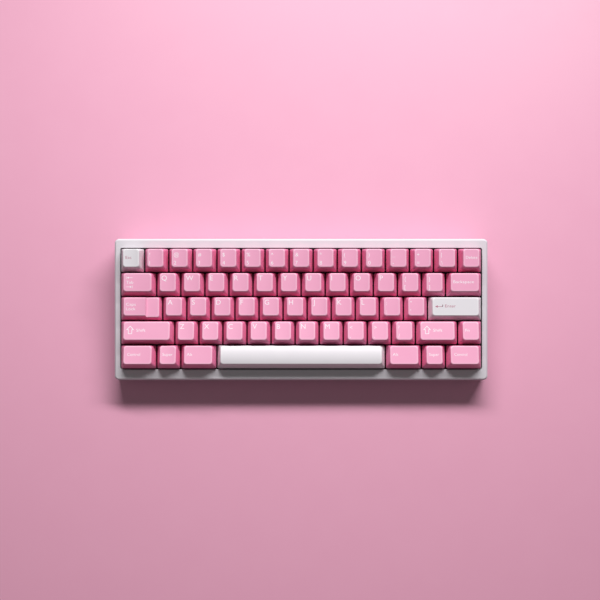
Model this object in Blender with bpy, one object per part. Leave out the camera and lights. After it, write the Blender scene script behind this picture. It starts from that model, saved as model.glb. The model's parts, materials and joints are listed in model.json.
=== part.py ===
"""A compact 60 per cent mechanical keyboard: wedge case, switch plate, soldered board and 62 keys.

Everything but the feet is modelled in the deck's frame: x to the right, y to the back along the
key plane, z square to it, with z = 0 on the top face of the switch plate. The deck is tilted by
the typing angle. Sizes are in metres.
"""

import math

import bmesh
import bpy
from mathutils import Matrix, Vector

MM = 0.001
CLEARANCE = 0.3 * MM  # between pieces that rest on or in each other

# Key layout, back row first: (key, width in key units). Every row is ROW_UNITS wide.
KEY_ROWS = (
    tuple((key, 1.0) for key in ("esc", *"1234567890", "minus", "equal", "backslash", "delete")),
    (("tab", 1.5), *((key, 1.0) for key in (*"qwertyuiop", "left_bracket", "right_bracket")),
     ("backspace", 1.5)),
    (("caps_lock", 1.75), *((key, 1.0) for key in (*"asdfghjkl", "semicolon", "quote")),
     ("enter", 2.25)),
    (("left_shift", 2.25), *((key, 1.0) for key in (*"zxcvbnm", "comma", "period", "slash")),
     ("right_shift", 1.75), ("fn", 1.0)),
    (("left_control", 1.5), ("left_super", 1.0), ("left_alt", 1.5), ("space", 7.0),
     ("right_alt", 1.5), ("right_super", 1.0), ("right_control", 1.5)),
)
ROW_UNITS = 15.0
GROUPED_KEYS = (*"1234567890", "minus", "equal", "backslash")
GROUP_NAME = "number_row_keys"
WHITE_KEYS = ("esc", "enter", "space")
STEPPED_KEY = "caps_lock"
UNIT = 19.05 * MM  # key pitch, both ways

# Key caps. A row's profile is (height at the middle of the top, angle that lowers its back edge).
ROW_PROFILES = (
    (9.8 * MM, math.radians(0.0)),
    (7.45 * MM, math.radians(2.5)),
    (6.9 * MM, math.radians(5.0)),
    (7.35 * MM, math.radians(11.5)),
    (7.35 * MM, math.radians(11.5)),
)
CAP_GAP = 0.95 * MM  # between neighbouring skirts
CAP_TAPER_X = 5.8 * MM  # how much narrower the top is than the skirt
CAP_TAPER_Y = 3.9 * MM
CAP_TOP_SHIFT = 1.85 * MM  # the top sits behind the skirt's middle
CAP_WALL = 1.4 * MM
CAP_ROOF = 1.3 * MM
CAP_CORNER = 0.9 * MM
DISH_DEPTH = 0.65 * MM
DISH_FACETS = 5
STEP_WIDTH = 0.5 * UNIT  # the low shelf at the right of the stepped key
STEP_DROP = 2.3 * MM
SPACE_CROWN = 2.2 * MM
CAP_SEAT = 6.6 * MM  # skirt's lower edge above the plate, key at rest
WEB_WIDTH = 4.0 * MM  # of the webs that join the grouped keys' skirts
WEB_LOW = 0.4 * MM
WEB_HIGH = 1.6 * MM

# Switches: housings soldered to the board, and the slider on each cap.
SWITCH_HOLE = 14.0 * MM
FLANGE_LIP = 0.8 * MM  # of the housing past the hole, on the plate
FLANGE_THICKNESS = 0.7 * MM
HOUSING_HEIGHT = 5.6 * MM  # above the plate
HOUSING_TOP = 9.6 * MM
SLIDER_X = 6.4 * MM
SLIDER_Y = 5.0 * MM
SLIDER_CLEARANCE = 0.4 * MM
SLIDER_FOOT = 0.5 * MM  # slider's lower end above the plate, key at rest
STEM_RADIUS = 2.6 * MM
STEM_SIDES = 8
HOUSING_FLOOR = 0.8 * MM

# Stabilisers, on the keys of two units and more: {key: half the distance between its two stems}.
STABILISED = {"enter": 11.94 * MM, "left_shift": 11.94 * MM, "space": 57.15 * MM}
WIRE_NAMES = {"enter": "enter_wire", "left_shift": "shift_wire", "space": "space_wire"}
WIRE_RADIUS = 0.75 * MM
WIRE_BEND = 1.5 * MM
WIRE_BEND_STEPS = 3
WIRE_ARM = 9.5 * MM  # from the wire's long bar forward to the stems
WIRE_OVERRUN = 2.0 * MM  # of the wire's ends past the stems' middle
WIRE_RISE = 3.0 * MM  # of the wire's ends above its bar, key at rest
WIRE_PLATE_GAP = 0.35 * MM
GUIDE_X = 6.4 * MM
GUIDE_Y = 9.2 * MM
GUIDE_HEIGHT = 4.8 * MM
GUIDE_WALL = 0.9 * MM
STABILISER_STEM_X = 3.8 * MM
STABILISER_STEM_Y = 5.0 * MM
STABILISER_STEM_FOOT = -0.6 * MM  # from the plate's top, key at rest
HOOK_WIDTH = 2.3 * MM
HOOK_HEIGHT = 3.0 * MM

# Switch plate and circuit board
PLATE_THICKNESS = 1.5 * MM
PLATE_LAP = 1.9 * MM  # of the plate under the bezel, all round
PLATE_TO_BOARD = 5.0 * MM  # top face to top face
BOARD_THICKNESS = 1.6 * MM
BOARD_MARGIN = 0.85 * MM  # inside the case's cavity

# Port, under the board's back edge
PORT_X = -123.0 * MM
PORT_WIDTH = 8.94 * MM
PORT_HEIGHT = 3.26 * MM
PORT_LENGTH = 7.3 * MM
PORT_SHELL = 0.35 * MM
PORT_DEPTH = 6.2 * MM
TONGUE_WIDTH = 6.6 * MM
TONGUE_THICKNESS = 0.7 * MM
TONGUE_SETBACK = 1.0 * MM
PORT_OVERHANG = 0.9 * MM
PORT_WINDOW_X = 12.0 * MM
PORT_WINDOW_Z = 6.6 * MM

# Case
TYPING_ANGLE = math.radians(6.5)
BEZEL_SIDE = 4.6 * MM
BEZEL_BACK = 7.4 * MM
BEZEL_FRONT = 8.4 * MM
BEZEL_HEIGHT = 7.2 * MM  # above the plate
OPENING_MARGIN = 0.5 * MM  # of the bezel's opening round the key field
OPENING_CORNER = 1.5 * MM
CASE_CORNER = 3.5 * MM
CORNER_SEGMENTS = 4
CASE_CHAMFER = 1.2 * MM
FRONT_HEIGHT = 19.0 * MM  # case underside to bezel top, at the front wall
FLOOR_THICKNESS = 2.6 * MM

# Feet: two rubber strips
FOOT_HEIGHT = 2.0 * MM
FOOT_LENGTH = 220.0 * MM
FOOT_WIDTH = 8.0 * MM
FOOT_INSET = 9.0 * MM
FOOT_CORNER = 2.5 * MM

# Sizes that follow from those above
FIELD_X = ROW_UNITS * UNIT / 2.0
FIELD_Y = len(KEY_ROWS) * UNIT / 2.0
OPENING_X = FIELD_X + OPENING_MARGIN
OPENING_Y = FIELD_Y + OPENING_MARGIN
CASE_X = OPENING_X + BEZEL_SIDE
CASE_BACK = OPENING_Y + BEZEL_BACK
CASE_FRONT = -OPENING_Y - BEZEL_FRONT
PLATE_X = OPENING_X + PLATE_LAP
PLATE_Y = OPENING_Y + PLATE_LAP
SEAM_Z = -PLATE_THICKNESS
BOARD_TOP = -PLATE_TO_BOARD
BOARD_BOTTOM = BOARD_TOP - BOARD_THICKNESS
WIRE_Z = -PLATE_THICKNESS - WIRE_PLATE_GAP - WIRE_RADIUS
EMBED = 0.3 * MM  # how far a piece that is joined to another reaches into it
PAST = 1.0 * MM  # how far a cutter reaches past what it cuts
STEPPED_STEM_X = -STEP_WIDTH / 2.0  # its stem and switch stand under its raised part
CASE_UNDERSIDE = FOOT_HEIGHT + CLEARANCE
DECK_HEIGHT = (
    CASE_UNDERSIDE
    - CASE_FRONT * math.sin(TYPING_ANGLE)
    + (FRONT_HEIGHT - BEZEL_HEIGHT) * math.cos(TYPING_ANGLE)
)


def clear_scene():
    for obj in list(bpy.data.objects):
        bpy.data.objects.remove(obj, do_unlink=True)


def new_collection(name):
    collection = bpy.data.collections.new(name)
    bpy.context.scene.collection.children.link(collection)
    return collection


def new_material(name, colour, roughness, metallic=0.0):
    material = bpy.data.materials.new(name)
    material.use_nodes = True
    shader = material.node_tree.nodes["Principled BSDF"]
    shader.inputs["Base Color"].default_value = (*colour, 1.0)
    shader.inputs["Roughness"].default_value = roughness
    shader.inputs["Metallic"].default_value = metallic
    return material


def new_empty(name, location, parent=None):
    empty = bpy.data.objects.new(name, None)
    empty.location = location
    empty.parent = parent
    parts.objects.link(empty)
    return empty


def new_part(name, mesh, material, location=(0.0, 0.0, 0.0), parent=None):
    """Places a mesh as a named piece of the keyboard, on the deck unless a parent is given."""
    part = bpy.data.objects.new(name, mesh)
    part.location = location
    part.parent = parent or deck
    parts.objects.link(part)
    if not mesh.materials:
        mesh.materials.append(material)
    return part


def cut(part, name, mesh, operation="DIFFERENCE"):
    """Cuts the part with a mesh in the part's frame, or joins the mesh to it. The mesh may lap itself."""
    cutter = bpy.data.objects.new(name, mesh)
    cutter.location = part.location
    cutter.parent = part.parent
    cutter.hide_render = True
    cutter.display_type = "WIRE"
    cutters.objects.link(cutter)
    modifier = part.modifiers.new(name, "BOOLEAN")
    modifier.operation = operation
    modifier.object = cutter
    modifier.use_self = True


def as_mesh(name, bm):
    mesh = bpy.data.meshes.new(name)
    bm.to_mesh(mesh)
    bm.free()
    return mesh


def combined(mesh, *changes):
    """Returns the mesh after each (operation, other mesh) Boolean in turn."""
    base = bpy.data.objects.new(mesh.name, mesh)
    bpy.context.scene.collection.objects.link(base)
    tools = []
    for operation, other in changes:
        tool = bpy.data.objects.new(other.name, other)
        bpy.context.scene.collection.objects.link(tool)
        modifier = base.modifiers.new(other.name, "BOOLEAN")
        modifier.operation = operation
        modifier.object = tool
        tools.append(tool)
    evaluated = base.evaluated_get(bpy.context.evaluated_depsgraph_get())
    result = bpy.data.meshes.new_from_object(evaluated)
    for obj in (base, *tools):
        bpy.data.objects.remove(obj, do_unlink=True)
    result.name = mesh.name
    result.materials.clear()
    return result


def box(bm, low, high):
    """Adds a box primitive between two corners."""
    low, high = Vector(low), Vector(high)
    size = high - low
    matrix = Matrix.Translation((low + high) / 2.0) @ Matrix.Diagonal((*size, 1.0))
    return bmesh.ops.create_cube(bm, size=1.0, matrix=matrix)["verts"]


def box_mesh(name, low, high):
    bm = bmesh.new()
    box(bm, low, high)
    return as_mesh(name, bm)


def round_edges(bm, along, radius, segments):
    """Rounds the straight edges that run along a direction."""
    edges = [
        edge for edge in bm.edges
        if abs((edge.verts[1].co - edge.verts[0].co).normalized().dot(along)) > 0.9
    ]
    bmesh.ops.bevel(bm, geom=edges, offset=radius, segments=segments, profile=0.5, affect="EDGES")


def chamfer_rim(bm, z_side, width):
    """Chamfers the edges of the face that looks up (z_side 1) or down (z_side -1)."""
    bm.normal_update()
    rim = max(bm.faces, key=lambda face: z_side * face.normal.z)
    bmesh.ops.bevel(bm, geom=list(rim.edges), offset=width, segments=1, affect="EDGES")


def tower(bm, x, y, start_z, levels):
    """Adds a closed stack: each level (half x, half y, z) is drawn out of the last level's end face."""
    half_x, half_y, z = levels[0]
    made = box(bm, (x - half_x, y - half_y, start_z), (x + half_x, y + half_y, z))
    faces = {face for vert in made for face in vert.link_faces}
    end = max(faces, key=lambda face: face.calc_center_median().z)
    for half_x, half_y, z in levels[1:]:
        old = end.calc_center_median()
        end = bmesh.ops.extrude_discrete_faces(bm, faces=[end])["faces"][0]
        for vert in end.verts:
            side_x = math.copysign(half_x, vert.co.x - old.x)
            side_y = math.copysign(half_y, vert.co.y - old.y)
            vert.co = (x + side_x, y + side_y, z)


def underside(y, height):
    """Deck z of the horizontal plane at this height above the table, at deck y."""
    return (height - DECK_HEIGHT - y * math.sin(TYPING_ANGLE)) / math.cos(TYPING_ANGLE)


def wedge(half_x, front, back, top, height):
    """A box primitive whose walls are square to the deck and whose underside is horizontal."""
    bm = bmesh.new()
    box(bm, (-half_x, front, top - 1.0), (half_x, back, top))
    for vert in bm.verts:
        if vert.co.z < top - 0.5:
            vert.co.z = underside(vert.co.y, height)
    return bm


def key_places():
    """Yields each key's name, row, width in units and middle on the deck."""
    for row, keys in enumerate(KEY_ROWS):
        left = -FIELD_X
        y = FIELD_Y - (row + 0.5) * UNIT
        for key, units in keys:
            yield key, row, units, left + units * UNIT / 2.0, y
            left += units * UNIT


def stem_x(key):
    """How far a key's stem and switch stand to the right of the cap's middle."""
    return STEPPED_STEM_X if key == STEPPED_KEY else 0.0


def switch_places():
    """Yields the middle of each switch on the deck."""
    for key, _, _, x, y in key_places():
        yield x + stem_x(key), y


def stabiliser_places():
    """Yields the middle of each stabiliser stem on the deck."""
    for key, _, _, x, y in key_places():
        if key in STABILISED:
            yield x - STABILISED[key], y
            yield x + STABILISED[key], y


def case_top():
    bm = bmesh.new()
    box(bm, (-CASE_X, CASE_FRONT, SEAM_Z), (CASE_X, CASE_BACK, BEZEL_HEIGHT))
    round_edges(bm, Vector((0.0, 0.0, 1.0)), CASE_CORNER, CORNER_SEGMENTS)
    chamfer_rim(bm, 1.0, CASE_CHAMFER)
    frame = new_part("case_top", as_mesh("case_top", bm), case_paint)
    bm = bmesh.new()
    box(bm, (-OPENING_X, -OPENING_Y, SEAM_Z - PAST), (OPENING_X, OPENING_Y, BEZEL_HEIGHT + PAST))
    round_edges(bm, Vector((0.0, 0.0, 1.0)), OPENING_CORNER, CORNER_SEGMENTS)
    cut(frame, "bezel_opening", as_mesh("bezel_opening", bm))
    half_x, half_y = PLATE_X + CLEARANCE, PLATE_Y + CLEARANCE
    rebate = box_mesh("plate_rebate", (-half_x, -half_y, SEAM_Z - PAST), (half_x, half_y, CLEARANCE))
    cut(frame, "plate_rebate", rebate)


def port_middle_z():
    return BOARD_BOTTOM - CLEARANCE - PORT_HEIGHT / 2.0


def case_bottom():
    bm = wedge(CASE_X, CASE_FRONT, CASE_BACK, SEAM_Z - CLEARANCE, CASE_UNDERSIDE)
    round_edges(bm, Vector((0.0, 0.0, 1.0)), CASE_CORNER, CORNER_SEGMENTS)
    chamfer_rim(bm, -1.0, CASE_CHAMFER)
    tray = new_part("case_bottom", as_mesh("case_bottom", bm), case_paint)
    bm = wedge(OPENING_X, -OPENING_Y, OPENING_Y, SEAM_Z + PAST, CASE_UNDERSIDE + FLOOR_THICKNESS)
    round_edges(bm, Vector((0.0, 0.0, 1.0)), OPENING_CORNER, CORNER_SEGMENTS)
    cut(tray, "tray_cavity", as_mesh("tray_cavity", bm))
    bm = bmesh.new()
    half_x, half_z, z = PORT_WINDOW_X / 2.0, PORT_WINDOW_Z / 2.0, port_middle_z()
    box(bm, (PORT_X - half_x, OPENING_Y - PAST, z - half_z),
        (PORT_X + half_x, CASE_BACK + PAST, z + half_z))
    round_edges(bm, Vector((0.0, 1.0, 0.0)), 0.9 * half_z, CORNER_SEGMENTS)
    cut(tray, "port_window", as_mesh("port_window", bm))


def switch_plate():
    plate = new_part(
        "switch_plate",
        box_mesh("switch_plate", (-PLATE_X, -PLATE_Y, -PLATE_THICKNESS), (PLATE_X, PLATE_Y, 0.0)),
        plate_metal,
    )
    low, high = -PLATE_THICKNESS - PAST, PAST
    half = SWITCH_HOLE / 2.0
    bm = bmesh.new()
    for x, y in switch_places():
        box(bm, (x - half, y - half, low), (x + half, y + half, high))
    half_x = GUIDE_X / 2.0 + CLEARANCE
    for x, y in stabiliser_places():
        front = y - GUIDE_Y / 2.0 - CLEARANCE
        back = y + WIRE_ARM + WIRE_RADIUS + CLEARANCE
        box(bm, (x - half_x, front, low), (x + half_x, back, high))
    cut(plate, "plate_holes", as_mesh("plate_holes", bm))


def add_housing(bm, x, y):
    """Adds one switch housing: body under the plate, flange on it, tapered hood, shaft for the slider."""
    body = SWITCH_HOLE / 2.0 - CLEARANCE
    flange = SWITCH_HOLE / 2.0 + FLANGE_LIP
    hood = HOUSING_TOP / 2.0
    shaft_x = SLIDER_X / 2.0 + SLIDER_CLEARANCE
    shaft_y = SLIDER_Y / 2.0 + SLIDER_CLEARANCE
    flange_top = CLEARANCE + FLANGE_THICKNESS
    tower(bm, x, y, BOARD_TOP - EMBED, (
        (body, body, CLEARANCE),
        (flange, flange, CLEARANCE),
        (flange, flange, flange_top),
        (hood, hood, HOUSING_HEIGHT),
        (shaft_x, shaft_y, HOUSING_HEIGHT),
        (shaft_x, shaft_y, BOARD_TOP + HOUSING_FLOOR),
    ))


def add_guide(bm, x, y):
    """Adds one stabiliser guide: a box with a shaft for the stem."""
    half_x, half_y = GUIDE_X / 2.0, GUIDE_Y / 2.0
    shaft_x, shaft_y = half_x - GUIDE_WALL, half_y - GUIDE_WALL
    tower(bm, x, y, BOARD_TOP - EMBED, (
        (half_x, half_y, GUIDE_HEIGHT),
        (shaft_x, shaft_y, GUIDE_HEIGHT),
        (shaft_x, shaft_y, BOARD_TOP + EMBED),
    ))


def circuit_board():
    """The board with every switch housing and stabiliser guide soldered or screwed to it."""
    half_x, half_y = OPENING_X - BOARD_MARGIN, OPENING_Y - BOARD_MARGIN
    board = new_part(
        "circuit_board",
        box_mesh("circuit_board", (-half_x, -half_y, BOARD_BOTTOM), (half_x, half_y, BOARD_TOP)),
        board_plastic,
    )
    bm = bmesh.new()
    for x, y in switch_places():
        add_housing(bm, x, y)
    for x, y in stabiliser_places():
        add_guide(bm, x, y)
    cut(board, "switch_housings", as_mesh("switch_housings", bm), "UNION")
    bm = bmesh.new()
    half_x = WIRE_RADIUS + CLEARANCE
    for x, y in stabiliser_places():
        front, back = y + GUIDE_Y / 2.0 - GUIDE_WALL - PAST, y + GUIDE_Y / 2.0 + PAST
        box(bm, (x - half_x, front, BOARD_TOP + EMBED), (x + half_x, back, GUIDE_HEIGHT + PAST))
    cut(board, "wire_slots", as_mesh("wire_slots", bm))


def usb_port():
    """The receptacle: a flat shell open to the back, with the contact tongue inside."""
    half_x, half_z = PORT_WIDTH / 2.0, PORT_HEIGHT / 2.0
    mouth_x, mouth_z = half_x - PORT_SHELL, half_z - PORT_SHELL
    bm = bmesh.new()
    tower(bm, 0.0, 0.0, -PORT_LENGTH, (
        (half_x, half_z, 0.0),
        (mouth_x, mouth_z, 0.0),
        (mouth_x, mouth_z, -PORT_DEPTH),
        (TONGUE_WIDTH / 2.0, TONGUE_THICKNESS / 2.0, -PORT_DEPTH),
        (TONGUE_WIDTH / 2.0, TONGUE_THICKNESS / 2.0, -TONGUE_SETBACK),
    ))
    bmesh.ops.rotate(bm, verts=bm.verts, matrix=Matrix.Rotation(-math.pi / 2.0, 3, "X"))
    mouth_y = OPENING_Y - BOARD_MARGIN + PORT_OVERHANG
    new_part("usb_port", as_mesh("usb_port", bm), port_steel, (PORT_X, mouth_y, port_middle_z()))


def cap_sizes(units):
    """Half sizes of a cap's skirt and of its top."""
    skirt = Vector(((units * UNIT - CAP_GAP) / 2.0, (UNIT - CAP_GAP) / 2.0))
    top = skirt - Vector((CAP_TAPER_X / 2.0, CAP_TAPER_Y / 2.0))
    return skirt, top


def tapered_block(bottom, top, low, high, tilt):
    """A box primitive with its top face resized, moved back and tilted."""
    bm = bmesh.new()
    bmesh.ops.create_cube(bm, size=2.0)
    for vert in bm.verts:
        if vert.co.z < 0.0:
            vert.co = (vert.co.x * bottom.x, vert.co.y * bottom.y, low)
        else:
            y = vert.co.y * top.y
            vert.co = (vert.co.x * top.x, y + CAP_TOP_SHIFT, high - y * math.tan(tilt))
    return bm


def dish_mesh(units, height, tilt):
    """The cylinder that scoops the top, running from front to back."""
    _, top = cap_sizes(units)
    radius = (top.x ** 2 + DISH_DEPTH ** 2) / (2.0 * DISH_DEPTH)
    facet = 2.0 * top.x / DISH_FACETS
    quarter_facets = round(math.pi / 2.0 * radius / facet)
    placed = (
        Matrix.Translation((0.0, CAP_TOP_SHIFT, height - DISH_DEPTH))
        @ Matrix.Rotation(-tilt, 4, "X")
        @ Matrix.Translation((0.0, 0.0, radius))
        @ Matrix.Rotation(math.pi / 2.0, 4, "X")
    )
    bm = bmesh.new()
    bmesh.ops.create_cone(bm, cap_ends=True, segments=4 * quarter_facets, radius1=radius,
                          radius2=radius, depth=2.0 * UNIT, matrix=placed)
    return as_mesh("dish", bm)


def hollow_mesh(units, height, tilt):
    skirt, top = cap_sizes(units)
    wall = Vector((CAP_WALL, CAP_WALL))
    roof = height - DISH_DEPTH - CAP_ROOF
    return as_mesh("hollow", tapered_block(skirt - wall, top - wall, -PAST, roof, tilt))


def step_mesh(units, height):
    """The space above the low shelf of a stepped cap."""
    skirt, top = cap_sizes(units)
    return box_mesh("step", (top.x - STEP_WIDTH, -UNIT, height - DISH_DEPTH - STEP_DROP),
                    (skirt.x + PAST, UNIT, height + UNIT))


def raised_hollow_mesh(units, height, tilt):
    """The hollow under the raised part of a stepped cap."""
    skirt, top = cap_sizes(units)
    wall_x = top.x - STEP_WIDTH - CAP_WALL
    shelf = box_mesh("shelf", (wall_x, -UNIT, -UNIT), (skirt.x + PAST, UNIT, height + UNIT))
    return combined(hollow_mesh(units, height, tilt), ("DIFFERENCE", shelf))


def stem_meshes(reach, x):
    """The round post under the roof and the switch's slider below it, up to the given height."""
    bm = bmesh.new()
    placed = Matrix.Translation((x, 0.0, (reach - EMBED) / 2.0))
    bmesh.ops.create_cone(bm, cap_ends=True, segments=STEM_SIDES, radius1=STEM_RADIUS,
                          radius2=STEM_RADIUS, depth=reach + EMBED, matrix=placed)
    half_x, half_y = SLIDER_X / 2.0, SLIDER_Y / 2.0
    foot = SLIDER_FOOT - CAP_SEAT
    slider = box_mesh("slider", (x - half_x, -half_y, foot), (x + half_x, half_y, 0.0))
    return as_mesh("post", bm), slider


def stabiliser_stem_mesh(offset, reach):
    """One side stem, with the open hook that the wire's end lies in."""
    half_x, half_y = STABILISER_STEM_X / 2.0, STABILISER_STEM_Y / 2.0
    foot = STABILISER_STEM_FOOT - CAP_SEAT
    stem = box_mesh("side_stem", (offset - half_x, -half_y, foot), (offset + half_x, half_y, reach))
    half = HOOK_WIDTH / 2.0
    hook = box_mesh("hook", (offset - half, -UNIT, foot - PAST), (offset + half, UNIT, foot + HOOK_HEIGHT))
    return combined(stem, ("DIFFERENCE", hook))


def cap_outer(units, row, crowned):
    """The cap's outside before its dish: skirt, tapered walls and top with softened corners."""
    height, tilt = ROW_PROFILES[row]
    skirt, top = cap_sizes(units)
    bm = tapered_block(skirt, top, 0.0, height, tilt)
    round_edges(bm, Vector((0.0, 0.0, 1.0)), CAP_CORNER, 1)
    if crowned:
        bm.normal_update()
        roof = max(bm.faces, key=lambda face: face.normal.z)
        long_edges = [
            edge for edge in roof.edges
            if abs(edge.verts[0].co.x - edge.verts[1].co.x) > UNIT
        ]
        bmesh.ops.bevel(bm, geom=long_edges, offset=SPACE_CROWN, segments=3, profile=0.5,
                        affect="EDGES")
    return as_mesh("cap", bm)


def key_mesh(key, row, units):
    """One whole key: hollow cap, post and slider, and side stems where the key is stabilised."""
    height, tilt = ROW_PROFILES[row]
    crowned = key == "space"
    reach = height - DISH_DEPTH - CAP_ROOF + 2.0 * EMBED
    changes = []
    if not crowned:
        changes.append(("DIFFERENCE", dish_mesh(units, height, tilt)))
    if key == STEPPED_KEY:
        changes += [
            ("DIFFERENCE", step_mesh(units, height)),
            ("DIFFERENCE", hollow_mesh(units, height - STEP_DROP, tilt)),
            ("DIFFERENCE", raised_hollow_mesh(units, height, tilt)),
        ]
    else:
        changes.append(("DIFFERENCE", hollow_mesh(units, height, tilt)))
    changes += [("UNION", mesh) for mesh in stem_meshes(reach, stem_x(key))]
    for side in (-1.0, 1.0):
        if key in STABILISED:
            changes.append(("UNION", stabiliser_stem_mesh(side * STABILISED[key], reach)))
    mesh = combined(cap_outer(units, row, crowned), *changes)
    mesh.name = "key_" + key
    return mesh


def keys():
    """Makes every key but the grouped ones. Keys of one row and width share a mesh; returns the meshes."""
    shared = {}
    for key, row, units, x, y in key_places():
        special = key if key in STABILISED or key == STEPPED_KEY else ""
        form = (row, units, special)
        if form not in shared:
            shared[form] = key_mesh(key, row, units)
        if key in GROUPED_KEYS:
            continue
        white = key in WHITE_KEYS
        mesh = shared[form].copy() if white else shared[form]
        new_part("key_" + key, mesh, white_cap if white else pink_cap, (x, y, CAP_SEAT))
    return shared


def number_row(cap):
    """The thirteen number-row keys as one piece, joined by low webs between their skirts."""
    places = [(x, y) for key, _, _, x, y in key_places() if key in GROUPED_KEYS]
    first_x, row_y = places[0]
    bm = bmesh.new()
    for x, _ in places:
        before = len(bm.verts)
        bm.from_mesh(cap)
        bm.verts.ensure_lookup_table()
        bmesh.ops.translate(bm, verts=bm.verts[before:], vec=(x - first_x, 0.0, 0.0))
    caps = as_mesh("number_row_keys", bm)
    bm = bmesh.new()
    reach = CAP_GAP / 2.0 + CAP_WALL / 2.0
    for index in range(len(places) - 1):
        x = (index + 0.5) * UNIT
        box(bm, (x - reach, -WEB_WIDTH / 2.0, WEB_LOW), (x + reach, WEB_WIDTH / 2.0, WEB_HIGH))
    webs = as_mesh("webs", bm)
    new_part(GROUP_NAME, combined(caps, ("UNION", webs)), pink_cap, (first_x, row_y, CAP_SEAT))


def stabiliser_wire(key, x, y):
    """A bent wire: long bar behind the switch, and two arms forward into the side stems."""
    half = STABILISED[key]
    rise = math.asin(WIRE_RISE / WIRE_ARM)
    forward = Vector((0.0, -math.cos(rise), math.sin(rise)))
    outline = []
    for side in (-1.0, 1.0):
        corner = Vector((side * half, 0.0, 0.0))
        inward = Vector((-side, 0.0, 0.0))
        centre = corner + WIRE_BEND * (inward + forward)
        bend = []
        for step in range(WIRE_BEND_STEPS + 1):
            angle = math.pi / 2.0 * step / WIRE_BEND_STEPS
            bend.append(centre - WIRE_BEND * (math.cos(angle) * inward + math.sin(angle) * forward))
        arm = [corner + (WIRE_ARM + WIRE_OVERRUN) * forward, *bend]
        outline += arm if side < 0.0 else arm[::-1]
    curve = bpy.data.curves.new(WIRE_NAMES[key], "CURVE")
    curve.dimensions = "3D"
    curve.bevel_depth = WIRE_RADIUS
    curve.bevel_resolution = 2
    curve.use_fill_caps = True
    spline = curve.splines.new("POLY")
    spline.points.add(len(outline) - 1)
    for point, place in zip(spline.points, outline):
        point.co = (*place, 1.0)
    curve.materials.append(wire_steel)
    wire = bpy.data.objects.new(WIRE_NAMES[key], curve)
    wire.location = (x, y + WIRE_ARM, WIRE_Z)
    wire.parent = deck
    parts.objects.link(wire)


def foot(name, y):
    """A flat rubber strip with rounded ends, y being its middle on the table."""
    half_x, half_y = FOOT_LENGTH / 2.0, FOOT_WIDTH / 2.0
    bm = bmesh.new()
    box(bm, (-half_x, -half_y, 0.0), (half_x, half_y, FOOT_HEIGHT))
    round_edges(bm, Vector((0.0, 0.0, 1.0)), FOOT_CORNER, CORNER_SEGMENTS)
    new_part(name, as_mesh(name, bm), foot_rubber, (0.0, y, 0.0), stand)


def feet():
    for name, edge, inward in (("foot_front", CASE_FRONT, 1.0), ("foot_rear", CASE_BACK, -1.0)):
        z = underside(edge, CASE_UNDERSIDE)
        y = edge * math.cos(TYPING_ANGLE) - z * math.sin(TYPING_ANGLE)
        foot(name, y + inward * (FOOT_INSET + FOOT_WIDTH / 2.0))


def centre_on_origin():
    """Moves the stand so that the middle of the keyboard's footprint is at the origin."""
    bpy.context.view_layer.update()
    depths = [
        (part.matrix_world @ Vector(corner)).y
        for part in parts.objects
        if part.type != "EMPTY"
        for corner in part.bound_box
    ]
    stand.location.y = -(min(depths) + max(depths)) / 2.0


clear_scene()
parts = new_collection("mechanical_keyboard")
cutters = new_collection("cutters")
case_paint = new_material("case_paint", (0.82, 0.80, 0.82), 0.5, 0.1)
pink_cap = new_material("pink_cap", (0.85, 0.28, 0.45), 0.55)
white_cap = new_material("white_cap", (0.84, 0.82, 0.84), 0.55)
plate_metal = new_material("plate_metal", (0.05, 0.02, 0.03), 0.45, 0.8)
board_plastic = new_material("board_plastic", (0.04, 0.015, 0.02), 0.5)
port_steel = new_material("port_steel", (0.7, 0.7, 0.72), 0.3, 1.0)
wire_steel = new_material("wire_steel", (0.65, 0.65, 0.67), 0.3, 1.0)
foot_rubber = new_material("foot_rubber", (0.03, 0.03, 0.03), 0.85)

stand = new_empty("stand", (0.0, 0.0, 0.0))
deck = new_empty("deck", (0.0, 0.0, DECK_HEIGHT), stand)
deck.rotation_euler.x = TYPING_ANGLE

case_top()
case_bottom()
switch_plate()
circuit_board()
usb_port()
feet()
number_row(keys()[(0, 1.0, "")])
for key, _, _, x, y in key_places():
    if key in STABILISED:
        stabiliser_wire(key, x, y)
centre_on_origin()
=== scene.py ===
import json
import math

import bmesh
import bpy
import numpy as np
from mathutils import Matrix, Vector


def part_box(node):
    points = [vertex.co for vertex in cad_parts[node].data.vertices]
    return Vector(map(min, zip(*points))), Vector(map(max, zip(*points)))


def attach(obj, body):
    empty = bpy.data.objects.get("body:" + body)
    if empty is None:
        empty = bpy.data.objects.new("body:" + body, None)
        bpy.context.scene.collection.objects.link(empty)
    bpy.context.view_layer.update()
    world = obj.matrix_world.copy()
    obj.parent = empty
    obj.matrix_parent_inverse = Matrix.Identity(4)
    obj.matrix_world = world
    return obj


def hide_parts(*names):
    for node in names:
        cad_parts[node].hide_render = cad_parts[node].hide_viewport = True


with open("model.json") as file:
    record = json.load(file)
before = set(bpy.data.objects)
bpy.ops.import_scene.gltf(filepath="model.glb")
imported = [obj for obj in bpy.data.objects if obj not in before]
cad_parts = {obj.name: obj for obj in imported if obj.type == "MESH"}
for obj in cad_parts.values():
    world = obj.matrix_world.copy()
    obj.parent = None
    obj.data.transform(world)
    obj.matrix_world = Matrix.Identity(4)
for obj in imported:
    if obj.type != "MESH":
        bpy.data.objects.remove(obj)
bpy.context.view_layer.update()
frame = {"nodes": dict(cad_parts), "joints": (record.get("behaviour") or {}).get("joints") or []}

mm = 0.001
quarter = math.pi / 2.0


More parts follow.
